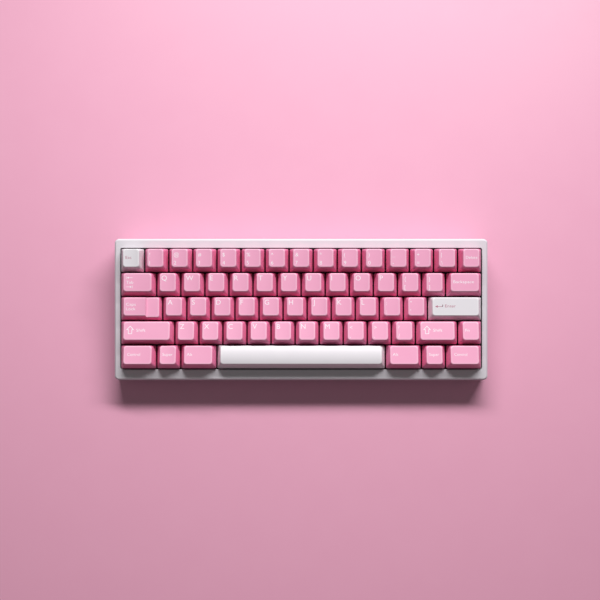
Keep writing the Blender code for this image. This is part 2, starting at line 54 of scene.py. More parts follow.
# The keys slide square to the deck, so the slide axis gives the deck's tilt. The plate is a flat
# box: its upright extents give its half depth, and so the middle of its top face.
def readDeck():
    slide = next(joint for joint in frame["joints"] if joint["type"] == "slide")
    tilt = math.atan2(slide["axis"][1], -slide["axis"][2])
    low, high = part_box("switch_plate")
    sine, cosine = math.sin(tilt), math.cos(tilt)
    deep, tall = high.y - low.y, high.z - low.z
    half = (deep * cosine - tall * sine) / (2.0 * (cosine ** 2 - sine ** 2))
    return {"sine": sine, "cosine": cosine, "tilt": tilt, "y": low.y + half * cosine,
            "z": high.z - half * sine}


deck = readDeck()


# Deck coordinates to the frame's: a turn about X by the tilt, then a move to the deck's middle.
def toWorld(points):
    x, y, z = points[..., 0], points[..., 1], points[..., 2]
    return np.stack([x, deck["y"] + y * deck["cosine"] - z * deck["sine"],
                     deck["z"] + y * deck["sine"] + z * deck["cosine"]], -1)


# Deck y of a point whose frame y and deck z are known.
def deckY(frameY, z):
    return (frameY - deck["y"] + z * deck["sine"]) / deck["cosine"]


# Deck z of a point at this height above the table, at deck y.
def deckZ(y, height):
    return (height - deck["z"] - y * deck["sine"]) / deck["cosine"]


# Quads between neighbouring closed rings of points. Rings run counter-clockwise, and
# (along the ring) x (to the next ring) points out of the solid.
def ringFaces(rings, points, closed=False):
    row = np.arange(rings if closed else rings - 1)[:, None]
    point = np.arange(points)[None, :]
    after, nextRow = (point + 1) % points, (row + 1) % rings
    corners = (row * points + point, row * points + after,
               nextRow * points + after, nextRow * points + point)
    return np.stack(np.broadcast_arrays(*corners), -1).reshape(-1, 4)


# Several (points, faces, polish with its painted sheen, material index) surfaces put into one mesh.
def fillMesh(name, surfaces):
    mesh = bpy.data.meshes.new(name)
    starts = np.cumsum([0] + [len(points) for points, *_ in surfaces])
    mesh.vertices.add(int(starts[-1]))
    mesh.vertices.foreach_set("co", np.concatenate([points for points, *_ in surfaces])
                              .astype(np.float32).ravel())
    sizes = np.concatenate([np.full(len(faces), faces.shape[1]) for _, faces, *_ in surfaces])
    corners = np.concatenate([(surface[1] + start).ravel() for surface, start in zip(surfaces, starts)])
    mesh.loops.add(len(corners))
    mesh.loops.foreach_set("vertex_index", corners.astype(np.int32))
    mesh.polygons.add(len(sizes))
    mesh.polygons.foreach_set("loop_start", (np.cumsum(sizes) - sizes).astype(np.int32))
    mesh.polygons.foreach_set("material_index", np.concatenate(
        [np.full(len(surface[1]), surface[3]) for surface in surfaces]).astype(np.int32))
    # Polish per point: shinier tops, and in the plastic finishes also painted sheen on the tops and
    # painted shade on the flanks.
    polishAndSheen = mesh.attributes.new("polishAndSheen", "FLOAT", "POINT")
    polishAndSheen.data.foreach_set("value", np.concatenate(
        [np.broadcast_to(surface[2], len(surface[0])) for surface in surfaces]).astype(np.float32))
    mesh.update(calc_edges=True)
    return mesh


# Welds poles and seams.
def weld(mesh):
    welder = bmesh.new()
    welder.from_mesh(mesh)
    bmesh.ops.remove_doubles(welder, verts=welder.verts, dist=1e-6)
    bmesh.ops.dissolve_degenerate(welder, edges=welder.edges, dist=1e-7)
    welder.to_mesh(mesh)
    welder.free()


# Welds the mesh, shades it smooth with creases kept, and hangs the piece on its body.
def addPiece(name, mesh, materials, body, stands=(), crease=40.0):
    weld(mesh)
    for material in materials:
        mesh.materials.append(material)
    mesh.shade_smooth()
    mesh.set_sharp_from_angle(angle=math.radians(crease))
    piece = bpy.data.objects.new(name, mesh)
    bpy.context.scene.collection.objects.link(piece)
    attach(piece, body)
    if stands:
        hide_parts(*stands)
    return piece


# A mesh less the closed cutter meshes, each cut exactly.
def cutMesh(mesh, cutters):
    base = bpy.data.objects.new("base", mesh)
    bpy.context.scene.collection.objects.link(base)
    tools = []
    for cutter in cutters:
        tool = bpy.data.objects.new(cutter.name, cutter)
        bpy.context.scene.collection.objects.link(tool)
        cut = base.modifiers.new(cutter.name, "BOOLEAN")
        cut.operation = "DIFFERENCE"
        cut.object = tool
        tools.append(tool)
    graph = bpy.context.evaluated_depsgraph_get()
    result = bpy.data.meshes.new_from_object(base.evaluated_get(graph))
    for made in (base, *tools):
        bpy.data.objects.remove(made, do_unlink=True)
    return result


# A rounded rectangle as weights. point = sign * (half size - radius) + radius * direction, so one
# basis serves rings of every size. It starts on the right side and runs counter-clockwise.
def outlineBasis(across, along, cornerSteps):
    arc = np.linspace(0.0, quarter, cornerSteps + 1)
    parts = []
    for turn, signX, signY in ((0, 1, 1), (1, -1, 1), (2, -1, -1), (3, 1, -1)):
        travel = np.array(across if turn % 2 else along, float) * (1 if turn in (0, 3) else -1)
        side = np.zeros((len(travel), 4))
        side[:, 0] = travel if turn % 2 else signX
        side[:, 1] = signY if turn % 2 else travel
        side[:, 2:] = (math.cos(turn * quarter), math.sin(turn * quarter))
        corner = np.full((len(arc), 4), (signX, signY, 0.0, 0.0))
        corner[:, 2] = np.cos(arc + turn * quarter)
        corner[:, 3] = np.sin(arc + turn * quarter)
        parts += [side, corner]
    return np.concatenate(parts).T


# Rings of a rounded rectangle: half sizes, radius and middle are one value for each ring. A spread
# wider than the ring keeps the points along its long sides at fixed places.
def outlineRings(basis, halfX, halfY, radius, spread=0.0, middleY=0.0):
    signX, signY, outX, outY = basis
    halfX, halfY, radius, middleY = (np.reshape(value, (-1, 1))
                                     for value in (halfX, halfY, radius, middleY))
    reach = halfX - radius
    x = np.clip(signX * np.maximum(spread, reach), -reach, reach)
    return x + radius * outX, signY * (halfY - radius) + radius * outY + middleY


# A polyline with each inner corner rounded by an arc, and a point close before and after the arc
# so that the flats beside it shade flat. radii has one radius for each inner corner.
def roundedProfile(corners, radii, steps=4, guard=0.05 * mm):
    corners = np.asarray(corners, float)
    line = [corners[0]]
    for before, here, after, radius in zip(corners, corners[1:], corners[2:], radii):
        inward, outward = (before - here), (after - here)
        inward, outward = inward / np.hypot(*inward), outward / np.hypot(*outward)
        halfTurn = math.acos(np.clip(inward @ outward, -1.0, 1.0)) / 2.0
        reach = radius / math.tan(halfTurn)
        first, last = here + inward * reach, here + outward * reach
        centre = here + (inward + outward) / np.hypot(*(inward + outward)) * radius / math.sin(halfTurn)
        line.append(first + inward * guard)
        swing = np.linspace(0.0, 1.0, steps + 1)[:, None]
        chord = first + (last - first) * swing - centre
        line += list(centre + chord * (radius / np.hypot(*chord.T))[:, None])
        line.append(last + outward * guard)
    line.append(corners[-1])
    return np.array(line)


class Wire:
    # One output socket of a node tree. Arithmetic on it adds Math nodes.
    def __init__(self, tree, socket=None):
        self.tree = tree
        self.socket = socket

    # Any other node: its type, its settings, then the values or wires of its sockets.
    def node(self, kind, settings, sockets, output=0):
        made = self.tree.nodes.new(kind)
        for name, value in settings.items():
            setattr(made, name, value)
        for name, value in sockets.items():
            if isinstance(value, Wire):
                self.tree.links.new(value.socket, made.inputs[name])
            else:
                made.inputs[name].default_value = value
        return Wire(self.tree, made.outputs[output])

    def maths(self, operation, first, second):
        return self.node("ShaderNodeMath", {"operation": operation}, {0: first, 1: second})

    def __add__(self, other):
        return self.maths("ADD", self, other)

    def __radd__(self, other):
        return self.maths("ADD", other, self)

    def __sub__(self, other):
        return self.maths("SUBTRACT", self, other)

    def __rsub__(self, other):
        return self.maths("SUBTRACT", other, self)

    def __mul__(self, other):
        return self.maths("MULTIPLY", self, other)

    def __rmul__(self, other):
        return self.maths("MULTIPLY", other, self)

    def clamped(self):
        return self.node("ShaderNodeClamp", {}, {"Value": self})

    # A colour between two, by this wire.
    def mixed(self, first, second):
        return self.node("ShaderNodeMix", {"data_type": "RGBA"},
                         {"Factor": self, 6: first, 7: second}, 2)


# A noise of the given grain size in metres, on Object coordinates, from 0 to 1.
def grain(start, size, detail=2.0, roughness=0.5):
    place = start.node("ShaderNodeTexCoord", {}, {}, "Object")
    return start.node("ShaderNodeTexNoise", {}, {"Vector": place, "Scale": 1.0 / size,
                      "Detail": detail, "Roughness": roughness}, 0)


# A Principled material. fixed are its constant sockets, and wires(start) gives the varying ones.
def newMaterial(name, fixed, wires):
    material = bpy.data.materials.new(name)
    material.use_nodes = True
    tree = material.node_tree
    shader = tree.nodes["Principled BSDF"]
    for socket, value in fixed.items():
        shader.inputs[socket].default_value = value
    for socket, wire in wires(Wire(tree)).items():
        tree.links.new(wire.socket, shader.inputs[socket])
    return material


# A colour of sRGB values 0 to 255 as linear light: c / 12.92 where dark, else
# ((c + 0.055) / 1.055) to the power 2.4.
def linear(red, green, blue):
    channel = np.array([red, green, blue]) / 255.0
    low, high = channel / 12.92, ((channel + 0.055) / 1.055) ** 2.4
    return (*(float(value) for value in np.where(channel <= 0.04045, low, high)), 1.0)


# Sizes of the finishes' patterns.
patterns = {
    "cloud": 14.0 * mm, "speck": 0.35 * mm, "fine": 0.16 * mm,
    "wave": 1.6 * mm, "tooth": 0.22 * mm, "smear": 30.0 * mm,
    "scratchScale": 9000.0, "scratchStretch": (0.04, 1.0, 1.0), "tarnish": 5.0 * mm,
    "pore": 0.5 * mm, "poreDepth": 0.05 * mm, "dust": 12.0 * mm,
}


# Moulded plastic: cloudy tint, fine spark-eroded grain, and tops made shinier where the polish
# attribute is up to 1, where the colour also turns to the top tint as a painted sheen; at 0 the
# flanks take the deeper flank tint as painted shade. Above 1 the top's rim is a painted highlight
# in the pale tint. Roughness falls from dull to shiny with the shine, give or take a little speck.
def plastic(name, tint, deep, paleHighlight, shadedFlank, dull, shiny, grainHeight):
    def wires(start):
        cloud = grain(start, patterns["cloud"], 3.0)
        speck = grain(start, patterns["speck"])
        fine = grain(start, patterns["fine"], 3.0, 0.6)
        polishAndSheen = start.node("ShaderNodeAttribute", {"attribute_name": "polishAndSheen"}, {}, "Fac")
        shineAndSheen, edge = polishAndSheen.clamped(), (polishAndSheen - 1.0).clamped()
        rough = dull - shineAndSheen * (dull - shiny) + (speck - 0.5) * 0.10
        bump = start.node("ShaderNodeBump", {}, {"Strength": 0.35, "Distance": grainHeight,
                          "Height": fine * (1.0 - shineAndSheen * 0.6) + cloud * 0.5})
        # Painted sheen: the top tint where the shine is 1; painted shade: the deeper flank tint where
        # it is 0.
        body = shineAndSheen.mixed(shadedFlank, (cloud * 0.7 + speck * 0.3).mixed(deep, tint))
        # Painted highlight: above polish 1 the rim takes the pale tint.
        return {"Base Color": (edge * (0.75 + speck * 0.5)).clamped().mixed(body, paleHighlight),
                "Roughness": rough.clamped(), "Normal": bump}
    return newMaterial(name, {"IOR": 1.5, "Specular IOR Level": 0.5}, wires)


# Powder coat or paint on metal: orange-peel waves, a fine tooth and faint handling marks.
def paint(name, tint, deep, rough, peel):
    def wires(start):
        wave = grain(start, patterns["wave"])
        tooth = grain(start, patterns["tooth"])
        smear = grain(start, patterns["smear"], 4.0, 0.6)
        bump = start.node("ShaderNodeBump", {}, {"Strength": 0.4, "Distance": peel,
                          "Height": wave + tooth * 0.35})
        return {"Base Color": (smear * 0.6 + wave * 0.4).mixed(deep, tint),
                "Roughness": (rough + (smear - 0.5) * 0.12 + (tooth - 0.5) * 0.08).clamped(),
                "Normal": bump}
    return newMaterial(name, {"IOR": 1.5, "Metallic": 0.0}, wires)


# Drawn or brushed metal: stretched scratches along X over a cloudy tarnish.
def metal(name, tint, deep, rough, scratchDepth):
    def wires(start):
        place = start.node("ShaderNodeTexCoord", {}, {}, "Object")
        stretched = start.node("ShaderNodeMapping", {},
                               {"Vector": place, "Scale": patterns["scratchStretch"]})
        scratch = start.node("ShaderNodeTexNoise", {}, {"Vector": stretched, "Detail": 3.0,
                             "Scale": patterns["scratchScale"]}, 0)
        tarnish = grain(start, patterns["tarnish"], 3.0)
        bump = start.node("ShaderNodeBump", {}, {"Strength": 0.3, "Distance": scratchDepth,
                          "Height": scratch})
        return {"Base Color": tarnish.mixed(deep, tint),
                "Roughness": (rough + (scratch - 0.5) * 0.2 + (tarnish - 0.5) * 0.15).clamped(),
                "Normal": bump}
    return newMaterial(name, {"Metallic": 1.0}, wires)


# Rubber: fine pores, with dust in broad patches.
def rubber(name, tint, deep):
    def wires(start):
        pore = grain(start, patterns["pore"], 4.0, 0.65)
        dust = grain(start, patterns["dust"], 3.0)
        bump = start.node("ShaderNodeBump", {}, {"Strength": 0.6, "Height": pore,
                          "Distance": patterns["poreDepth"]})
        return {"Base Color": (dust * 0.6 + pore * 0.4).mixed(deep, tint),
                "Roughness": (0.78 + (pore - 0.5) * 0.2).clamped(), "Normal": bump}
    return newMaterial(name, {"IOR": 1.5}, wires)


# In each plastic the third colour is the pale tint of the painted rim highlight, and the fourth is the
# flank tint, deeper than the top as painted shade.
finishes = {
    "pink": plastic("pinkPlastic", linear(244, 176, 205), linear(239, 166, 198), linear(250, 200, 220),
                    linear(236, 130, 172), 0.46, 0.34, 0.02 * mm),
    "white": plastic("whitePlastic", linear(230, 227, 231), linear(222, 218, 224),
                     linear(240, 238, 241), linear(228, 220, 226), 0.44, 0.34, 0.02 * mm),
    "whiteLegend": plastic("whiteLegend", linear(255, 250, 253), linear(246, 236, 242),
                           linear(255, 252, 254), linear(246, 236, 242), 0.45, 0.36, 0.01 * mm),
    "mauveLegend": plastic("mauveLegend", linear(196, 130, 150), linear(180, 112, 134),
                           linear(206, 146, 164), linear(180, 112, 134), 0.45, 0.36, 0.01 * mm),
    "slider": plastic("sliderPlastic", linear(120, 40, 70), linear(96, 30, 54), linear(140, 56, 88),
                      linear(96, 30, 54), 0.4, 0.3, 0.01 * mm),
    "case": paint("whitePowderCoat", linear(222, 219, 224), linear(214, 210, 217), 0.42, 0.03 * mm),
    "plate": metal("darkPlate", linear(70, 52, 60), linear(48, 34, 42), 0.42, 0.01 * mm),
    "board": plastic("darkHousing", linear(58, 40, 48), linear(40, 26, 34), linear(76, 56, 64),
                     linear(46, 30, 38), 0.5, 0.4, 0.02 * mm),
    "steel": metal("brightSteel", linear(205, 204, 208), linear(176, 175, 182), 0.26, 0.006 * mm),
    "screw": metal("blackenedScrew", linear(92, 90, 94), linear(62, 60, 66), 0.34, 0.01 * mm),
    "gold": metal("goldContact", linear(236, 190, 110), linear(200, 150, 80), 0.3, 0.004 * mm),
    "rubber": rubber("footRubber", linear(52, 50, 52), linear(34, 32, 34)),
    "floor": paint("floorPaint", linear(234, 170, 196), linear(231, 165, 192), 0.42, 0.02 * mm),
}
print("materials ready:", len(finishes))

# Cap sizes. A profile is (height at the middle of the top, degrees that lower its back edge).
caps = {
    "pitch": 19.05 * mm, "gap": 0.95 * mm, "seat": 6.6 * mm,
    "taperAcross": 5.8 * mm, "taperAlong": 3.9 * mm, "topShift": 1.85 * mm,
    "profiles": ((9.8 * mm, 0.0), (7.45 * mm, 2.5), (6.9 * mm, 5.0), (7.35 * mm, 11.5),
                 (7.35 * mm, 11.5)),
    "dish": 0.65 * mm, "homeDish": 1.15 * mm, "crown": 1.15 * mm, "wall": 1.4 * mm, "roof": 1.3 * mm,
    "rim": 0.55 * mm, "lip": 0.15 * mm, "skirtCorner": 0.9 * mm, "topCorner": 2.1 * mm,
    "bulge": 0.10 * mm, "shelfWidth": 9.525 * mm, "shelfDrop": 2.3 * mm, "shelfRamp": 0.7 * mm,
    # The next line sets the strength and width of the painted rim highlight, and where the polished top
    # with its painted sheen ends.
    "rimHighlight": 0.6, "rimHighlightWidth": 0.4 * mm, "polishAndSheenDrop": 0.35 * mm, "polishAndSheenBlend": 0.94,
    "steps": 16, "steppedSteps": 150, "cornerSteps": 6,
}


# One cap's numbers: half sizes of skirt and top, its profile, and what is special about it.
def capForm(units, row, kind):
    height, lean = caps["profiles"][row]
    skirt = np.array([units * caps["pitch"] - caps["gap"], caps["pitch"] - caps["gap"]]) / 2.0
    top = skirt - np.array([caps["taperAcross"], caps["taperAlong"]]) / 2.0
    stepX = top[0] - caps["shelfWidth"] if kind == "stepped" else top[0]
    return {"skirt": skirt, "top": top, "height": height, "slope": math.tan(math.radians(lean)),
            "kind": kind, "stepX": stepX, "dish": caps["homeDish" if kind == "home" else "dish"],
            "dishMiddle": (stepX - top[0]) / 2.0,
            "dishHalf": (stepX + top[0]) / 2.0}


# 0 up to 0, 1 from 1 on, and 3 v^2 - 2 v^3 between.
def smoothStep(value):
    value = np.clip(value, 0.0, 1.0)
    return value * value * (3.0 - 2.0 * value)


# How far a point is down the step of a stepped cap: 0 on the raised part, 1 on the shelf.
def shelfMask(x, form):
    if form["kind"] != "stepped":
        return np.zeros_like(x)
    return smoothStep((x - form["stepX"]) / caps["shelfRamp"])


# Height of the top face: a sloped plane, less a parabolic scoop across it (or, on the space bar,
# less a parabolic crown from front to back), less the step's drop.
def topHeight(x, y, form):
    x = np.clip(x, -form["top"][0], form["top"][0])
    y = np.clip(y, -form["top"][1], form["top"][1])
    flat = form["height"] - y * form["slope"]
    if form["kind"] == "space":
        return flat - caps["crown"] * (y / form["top"][1]) ** 2
    share = np.clip(np.abs((x - form["dishMiddle"]) / form["dishHalf"]), 0.0, 1.0)
    shelf = shelfMask(x, form)
    return flat - form["dish"] * (1.0 - share ** 2) * (1.0 - shelf) - caps["shelfDrop"] * shelf


# Keys of a row, left to right, with widths in units; the pieces replace key nodes of these names.
rows = (
    [(key, 1.0) for key in ("esc", *"1234567890", "minus", "equal", "backslash", "delete")],
    [("tab", 1.5), *((key, 1.0) for key in (*"qwertyuiop", "left_bracket", "right_bracket")),
     ("backspace", 1.5)],
    [("caps_lock", 1.75), *((key, 1.0) for key in (*"asdfghjkl", "semicolon", "quote")),
     ("enter", 2.25)],
    [("left_shift", 2.25), *((key, 1.0) for key in (*"zxcvbnm", "comma", "period", "slash")),
     ("right_shift", 1.75), ("fn", 1.0)],
    [("left_control", 1.5), ("left_super", 1.0), ("left_alt", 1.5), ("space", 7.0),
     ("right_alt", 1.5), ("right_super", 1.0), ("right_control", 1.5)],
)
numberRow = ("1", "2", "3", "4", "5", "6", "7", "8", "9", "0", "minus", "equal", "backslash")
whiteKeys = ("esc", "enter", "space")
kinds = {"caps_lock": "stepped", "space": "space", "f": "home", "j": "home"}
stabilised = {"enter": 11.94 * mm, "left_shift": 11.94 * mm, "space": 57.15 * mm}


# Middle of a key's skirt in deck coordinates, from the box of its node.
def keyPlace(key):
    if key in numberRow:
        low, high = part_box("number_row_keys")
        x = low.x + caps["pitch"] * (numberRow.index(key) + 0.5) - caps["gap"] / 2.0
    else:
        low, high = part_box("key_" + key)
        x = (low.x + high.x) / 2.0
    half = (caps["pitch"] - caps["gap"]) / 2.0
    return x, deckY(low.y, caps["seat"]) + half


# Cap rings from the middle of the ceiling, down inside, round the lip, up outside, over the rim
# and in across the top. Each has blend (0 skirt, 1 top), inset, rise (share of the top height)
# and lift, all joined in one table.
def capTable(form):
    wall, rim, lip, roof = caps["wall"], caps["rim"], caps["lip"], caps["roof"]
    shrink = min(form["top"])
    shares = np.array([1.0, 0.7, 0.35, 0.0])
    ceiling = np.stack([0.0 * shares + 1.0, wall + (shrink - wall) * shares, 0.0 * shares + 1.0,
                        0.0 * shares - roof], -1)
    blends = np.array([0.97, 0.6, 0.25, 0.0])
    inside = np.stack([blends, 0.0 * blends + wall, blends, -roof * blends + lip * (1.0 - blends)], -1)
    mouth = np.array([(0.0, wall - lip, 0.0, 0.0), (0.0, lip, 0.0, 0.0),
                      (0.0, lip * 0.3, 0.0, lip * 0.3)])
    blends = np.linspace(lip / form["height"], 1.0 - rim / form["height"], 10)
    outside = np.stack([blends, -caps["bulge"] * np.sin(np.pi * blends), blends, 0.0 * blends], -1)
    turn = np.linspace(0.0, quarter, 8)[1:]
    down = rim * (1.0 - np.sin(turn))
    over = np.stack([1.0 - down / form["height"], rim * (1.0 - np.cos(turn)), 0.0 * turn + 1.0,
                     -down], -1)
    shares = np.array([0.012, 0.05, 0.12, 0.22, 0.34, 0.46, 0.6, 0.74, 0.88, 1.0])
    inward = np.stack([0.0 * shares + 1.0, rim + (shrink - rim) * shares, 0.0 * shares + 1.0,
                       0.0 * shares], -1)
    return np.concatenate([ceiling, inside, mouth, outside, over, inward])


# The points, faces and polish (which also carries the painted sheen and painted rim highlight) of
# one cap in its own frame, skirt's lower edge at z = 0.
def capSurface(form):
    table = capTable(form)
    blend, inset, rise, lift = (column[:, None] for column in table.T)
    top, skirt = form["top"], form["skirt"]
    share = 1.0 - np.clip(inset, 0.0, None) / min(top)
    stepped = form["kind"] == "stepped"
    count = caps["steppedSteps"] if stepped else int(round(caps["steps"] * top[0] / top[1]))
    basis = outlineBasis(np.linspace(-1.0, 1.0, count + 2)[1:-1],
                         np.linspace(-1.0, 1.0, caps["steps"])[1:-1], caps["cornerSteps"])
    half = skirt + (top - skirt) * blend
    corner = (caps["skirtCorner"] + (caps["topCorner"] - caps["skirtCorner"]) * blend) * share
    spread = skirt[0] if stepped else 0.0
    x, y = outlineRings(basis, half[:, :1] - inset, half[:, 1:] - inset, corner, spread)
    skirtX, skirtY = outlineRings(basis, skirt[0], skirt[1], caps["skirtCorner"], spread)
    topX, topY = outlineRings(basis, top[0], top[1], caps["topCorner"], spread)
    sink = blend * caps["shelfDrop"] / form["height"] * shelfMask(x, form)
    z = rise * topHeight(x, y, form) + lift
    x = x + (skirtX - topX) * sink * share
    y = y + (skirtY - topY) * sink * share + caps["topShift"] * (blend - sink)
    points = np.stack([x, y, np.maximum(z, 0.0)], -1)
    # Painted highlight: a ring just inside the top's rim goes above polish 1 and is painted in the pale
    # tint.
    rimHighlight = caps["rimHighlight"] * np.exp(-((inset - 0.9 * caps["rim"]) / caps["rimHighlightWidth"]) ** 2)
    # Tops get polish 1: shinier, and painted in the lighter top tint as a sheen.
    onTop = rise * (lift > -caps["polishAndSheenDrop"]) * (blend > caps["polishAndSheenBlend"])
    polishAndSheen = np.broadcast_to(onTop * (1.0 + rimHighlight), x.shape)
    return points.reshape(-1, 3), ringFaces(*x.shape), polishAndSheen.ravel()


# A closed upright post of rounded rectangles: levels of (half x, half y, corner, z).
def postSurface(levels, x=0.0, steps=5):
    levels = np.array([(0.0, 0.0, 0.0, levels[0][3]), *levels, (0.0, 0.0, 0.0, levels[-1][3])])
    basis = outlineBasis([], [], steps)
    ringX, ringY = outlineRings(basis, levels[:, :1], levels[:, 1:2], levels[:, 2:3])
    points = np.stack([ringX + x, ringY, levels[:, 3:] + 0.0 * ringX], -1)
    return points.reshape(-1, 3), ringFaces(*ringX.shape), 0.0


stems = {
    "sliderX": 3.2 * mm, "sliderY": 2.5 * mm, "foot": -6.1 * mm, "corner": 0.5 * mm,
    "post": 2.6 * mm, "bite": 0.3 * mm,
    "sideX": 1.9 * mm, "sideY": 2.5 * mm, "sideFoot": -7.2 * mm, "sideCorner": 0.35 * mm,
    "hookX": 1.15 * mm, "hookTop": -4.2 * mm,
}


# The post and slider under a cap, and on long caps a side stem at each end with an open hook.
def stemSurfaces(reach, offset, side):
    x, y, corner, foot = stems["sliderX"], stems["sliderY"], stems["corner"], stems["foot"]
    post = stems["post"]
    made = [postSurface([(x - corner, y - corner, corner * 0.6, foot),
                         (x - 0.3 * corner, y - 0.3 * corner, corner * 0.8, foot + 0.25 * corner),
                         (x, y, corner, foot + corner), (x, y, corner, -0.1 * mm),
                         (x - 0.1 * mm, y - 0.1 * mm, corner, 0.0),
                         (post - 0.1 * mm, post - 0.1 * mm, post - 0.15 * mm, 0.0),
                         (post - 0.1 * mm, post - 0.1 * mm, post - 0.15 * mm, reach)], offset)]
    corner, foot, hook = stems["sideCorner"], stems["sideFoot"], stems["hookTop"]
    leg = (stems["sideX"] - stems["hookX"]) / 2.0
    for end in ((-side, side) if side else ()):
        x, y = stems["sideX"], stems["sideY"]
        made.append(postSurface([(x, y, corner, hook), (x, y, corner, reach)], end))
        for turn in (-1.0, 1.0):
            middle = end + turn * (stems["hookX"] + leg)
            made.append(postSurface([(leg * 0.7, y - 0.3 * leg, corner * 0.5, foot),
                                     (leg, y, corner, foot + 0.3 * leg),
                                     (leg, y, corner, hook + stems["bite"])], middle))
    return made


# Legends. Letters sit at the top left, pairs at the top and bottom left, words at the left middle.
legends = {
    "letterX": 1.3 * mm, "letterY": 1.8 * mm, "letterSize": 3.8 * mm,
    "pairX": 1.6 * mm, "pairBack": 3.0 * mm, "pairFront": 1.9 * mm, "pairSize": 2.9 * mm,
    "wordX": 1.9 * mm, "wordSize": 2.2 * mm, "line": 3.6 * mm, "lift": 0.02 * mm, "sink": 0.05 * mm,
    "slice": 1.0 * mm, "wordLift": 0.45 * mm, "controlIn": 0.85 * mm, "wordSpace": 0.7,
}
stretches = {"Esc": 1.17, "Tab": 1.2, "Caps": 1.2, "Lock": 1.2, "Shift": 1.32, "Enter": 1.22,
             "Super": 1.08, "Fn": 1.2, "Alt": 1.12, "Backspace": 1.25, "Delete": 1.06,
             "enterArrow": 1.25}
pairs = {"1": "!1", "2": "@2", "3": "#3", "4": "$4", "5": "%5", "6": "^6", "7": "&7", "8": "*8",
         "9": "(9", "0": ")0", "minus": "_-", "equal": "+=", "backslash": "|\\",
         "left_bracket": "{[", "right_bracket": "}]", "semicolon": ":;", "quote": "\"'",
         "comma": "<,", "period": ">.", "slash": "?/"}
words = {"esc": ["Esc"], "delete": ["Delete"], "tab": ["tabBack", "Tab", "tabOn"],
         "backspace": ["Backspace"], "caps_lock": ["Caps", "Lock"], "enter": ["enterArrow Enter"],
         "left_shift": ["shiftArrow Shift"], "right_shift": ["shiftArrow Shift"], "fn": ["Fn"],
         "left_control": ["Control"], "right_control": ["Control"], "left_super": ["Super"],
         "right_super": ["Super"], "left_alt": ["Alt"], "right_alt": ["Alt"]}


# A word in the built-in typeface, as a flat mesh.
def typedShape(text):
    curve = bpy.data.curves.new(text, "FONT")
    curve.body = text
    curve.resolution_u = 5
    typed = bpy.data.objects.new(text, curve)
    bpy.context.scene.collection.objects.link(typed)
    graph = bpy.context.evaluated_depsgraph_get()
    flat = bpy.data.meshes.new_from_object(typed.evaluated_get(graph))
    bpy.data.objects.remove(typed, do_unlink=True)
    points = np.empty(3 * len(flat.vertices))
    flat.vertices.foreach_get("co", points)
    return points.reshape(-1, 3)[:, :2], [tuple(face.vertices) for face in flat.polygons]


capital = np.ptp(typedShape("H")[0][:, 1])


# The same with its capitals one unit high and its left edge at 0.
def typeset(text):
    points, faces = typedShape(text)
    points = points / capital
    points[:, 0] -= points[:, 0].min()
    return points, faces


# Arrow signs as polygons in units of a word's capital height, standing on the base line.
def arrowShape(name):
    if name == "shiftArrow":
        outer = np.array([(0.0, 1.65), (-1.45, 0.15), (-0.72, 0.15), (-0.72, -1.3), (0.72, -1.3),
                          (0.72, 0.15), (1.45, 0.15)])
        inner = np.array([(0.0, 1.32), (-0.92, 0.36), (-0.5, 0.36), (-0.5, -1.09), (0.5, -1.09),
                          (0.5, 0.36), (0.92, 0.36)])
        index = np.arange(7)
        after = (index + 1) % 7
        points = np.concatenate([outer, inner]) + (1.45, 0.45)
        return points, [tuple(face) for face in np.stack([index, after, after + 7, index + 7], -1)]
    if name == "enterArrow":
        points = np.array([(0.0, 0.3), (0.75, -0.15), (0.75, 0.21), (2.1, 0.21), (2.1, 1.0),
                           (2.3, 1.0), (2.3, 0.39), (0.75, 0.39), (0.75, 0.75)])
        return points, [(0, 1, 2, 7, 8), (2, 3, 6, 7), (3, 4, 5, 6)]
    points = np.array([(0.0, 0.0), (0.16, 0.0), (0.16, 1.0), (0.0, 1.0), (0.3, 0.5), (0.9, 0.12),
                       (0.9, 0.42), (2.3, 0.42), (2.3, 0.58), (0.9, 0.58), (0.9, 0.88)])
    faces = [(0, 1, 2, 3), (4, 5, 6, 9, 10), (6, 7, 8, 9)]
    if name == "tabOn":
        points[:, 0] = 2.3 - points[:, 0]
    return points, faces


# Where each legend of a key stands: (shape, left, base line, size) on the cap, from its middle.
def legendPlan(key, form):
    left = -form["top"][0]
    back, front = caps["topShift"] + form["top"][1], caps["topShift"] - form["top"][1]
    if key in pairs:
        size = legends["pairSize"]
        x = left + legends["pairX"]
        return [(typeset(pairs[key][0]), x, back - legends["pairBack"] - size, size),
                (typeset(pairs[key][1]), x, front + legends["pairFront"], size)]
    if len(key) == 1:
        size = legends["letterSize"]
        x, y = left + legends["letterX"], back - legends["letterY"] - size
        return [(typeset(key.upper()), x, y, size)]
    size, lines = legends["wordSize"], words.get(key, [])
    plan = []
    for index, line in enumerate(lines):
        x = left + legends["wordX"]
        y = caps["topShift"] + ((len(lines) - 1) / 2.0 - index) * legends["line"] - size / 2.0
        y += legends["wordLift"] if len(lines) == 1 else 0.0
        x += legends["controlIn"] if line == "Control" else 0.0
        for word in line.split():
            points, faces = arrowShape(word) if word[0].islower() else typeset(word)
            points = points * (stretches.get(word, 1.0), 1.0)
            plan.append(((points, faces), x, y, size))
            x += (np.ptp(points[:, 0]) + legends["wordSpace"]) * size
    return plan


